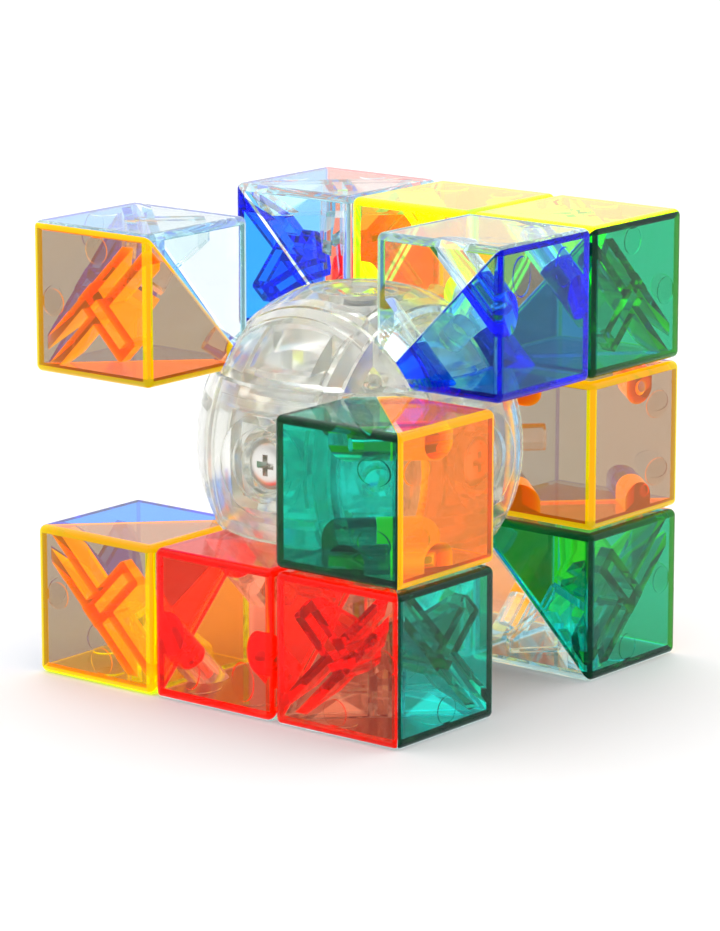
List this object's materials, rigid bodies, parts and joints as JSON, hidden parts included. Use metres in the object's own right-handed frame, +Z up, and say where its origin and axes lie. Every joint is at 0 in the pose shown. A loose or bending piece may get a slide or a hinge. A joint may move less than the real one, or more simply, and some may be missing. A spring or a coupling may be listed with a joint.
{
  "type": "transparent twisting cube puzzle on a ball mechanism",
  "caption": "See-through twisting puzzle: a clear split ball on a sprung core carries tinted hollow cubes, so the mechanism shows. Top and bottom layers turn.",
  "frame": {"origin": "middle of the core, which is the middle of the full cube outline", "axes": "+Z up along the turning axis of the top and bottom layers; +X and +Y square to the other four sides, -Y is the side with the most cubes"},
  "size_m": [0.057, 0.057, 0.057],
  "materials": {
    "orange_shell_plastic": "polished, see-through",
    "blue_shell_plastic": "polished, see-through",
    "green_shell_plastic": "polished, see-through",
    "red_shell_plastic": "polished, see-through",
    "yellow_shell_plastic": "polished, see-through",
    "clear_shell_plastic": "polished, see-through",
    "clear_ball_plastic": "polished, see-through",
    "plated_steel": "nickel plated",
    "spring_steel": "drawn wire"
  },
  "bodies": {
    "core": {"cap_screws": "plated_steel", "cap_springs": "spring_steel", "core": "clear_ball_plastic", "middle_front_centre_cap": "clear_ball_plastic", "middle_front_left_edge_foot": "clear_ball_plastic", "middle_front_left_edge_x_shell": "green_shell_plastic", "middle_front_left_edge_y_shell": "orange_shell_plastic", "middle_front_right_edge_foot": "clear_ball_plastic", "middle_front_right_edge_x_shell": "blue_shell_plastic", "middle_front_right_edge_y_shell": "orange_shell_plastic", "middle_left_centre_cap": "clear_ball_plastic", "middle_rear_centre_cap": "clear_ball_plastic", "middle_rear_left_edge_segment": "clear_ball_plastic", "middle_rear_right_edge_segment": "clear_ball_plastic", "middle_right_centre_cap": "clear_ball_plastic"},
    "top_layer": {"top_centre_cap": "clear_ball_plastic", "top_front_edge_foot": "clear_ball_plastic", "top_front_edge_y_shell": "blue_shell_plastic", "top_front_edge_z_shell": "clear_shell_plastic", "top_front_left_corner_segment": "clear_ball_plastic", "top_front_right_corner_foot": "clear_ball_plastic", "top_front_right_corner_x_shell": "orange_shell_plastic", "top_front_right_corner_y_shell": "green_shell_plastic", "top_front_right_corner_z_shell": "yellow_shell_plastic", "top_left_edge_segment": "clear_ball_plastic", "top_rear_edge_segment": "clear_ball_plastic", "top_rear_left_corner_foot": "clear_ball_plastic", "top_rear_left_corner_x_shell": "orange_shell_plastic", "top_rear_left_corner_y_shell": "blue_shell_plastic", "top_rear_left_corner_z_shell": "clear_shell_plastic", "top_rear_right_corner_foot": "clear_ball_plastic", "top_rear_right_corner_x_shell": "red_shell_plastic", "top_rear_right_corner_y_shell": "blue_shell_plastic", "top_rear_right_corner_z_shell": "clear_shell_plastic", "top_right_edge_foot": "clear_ball_plastic", "top_right_edge_x_shell": "orange_shell_plastic", "top_right_edge_z_shell": "yellow_shell_plastic"},
    "bottom_layer": {"bottom_centre_cap": "clear_ball_plastic", "bottom_front_edge_segment": "clear_ball_plastic", "bottom_front_left_corner_foot": "clear_ball_plastic", "bottom_front_left_corner_x_shell": "red_shell_plastic", "bottom_front_left_corner_y_shell": "green_shell_plastic", "bottom_front_left_corner_z_shell": "clear_shell_plastic", "bottom_front_right_corner_foot": "clear_ball_plastic", "bottom_front_right_corner_x_shell": "orange_shell_plastic", "bottom_front_right_corner_y_shell": "green_shell_plastic", "bottom_front_right_corner_z_shell": "clear_shell_plastic", "bottom_left_edge_foot": "clear_ball_plastic", "bottom_left_edge_x_shell": "red_shell_plastic", "bottom_left_edge_z_shell": "clear_shell_plastic", "bottom_rear_edge_segment": "clear_ball_plastic", "bottom_rear_left_corner_foot": "clear_ball_plastic", "bottom_rear_left_corner_x_shell": "orange_shell_plastic", "bottom_rear_left_corner_y_shell": "blue_shell_plastic", "bottom_rear_left_corner_z_shell": "yellow_shell_plastic", "bottom_rear_right_corner_segment": "clear_ball_plastic", "bottom_right_edge_foot": "clear_ball_plastic", "bottom_right_edge_x_shell": "orange_shell_plastic", "bottom_right_edge_z_shell": "clear_shell_plastic"}
  },
  "joints": [
    {"name": "top_layer_turn", "type": "hinge", "parent": "core", "child": "top_layer", "pos_m": [0, 0, 0], "axis": [0, 0, 1], "continuous": true},
    {"name": "bottom_layer_turn", "type": "hinge", "parent": "core", "child": "bottom_layer", "pos_m": [0, 0, 0], "axis": [0, 0, 1], "continuous": true}
  ]
}
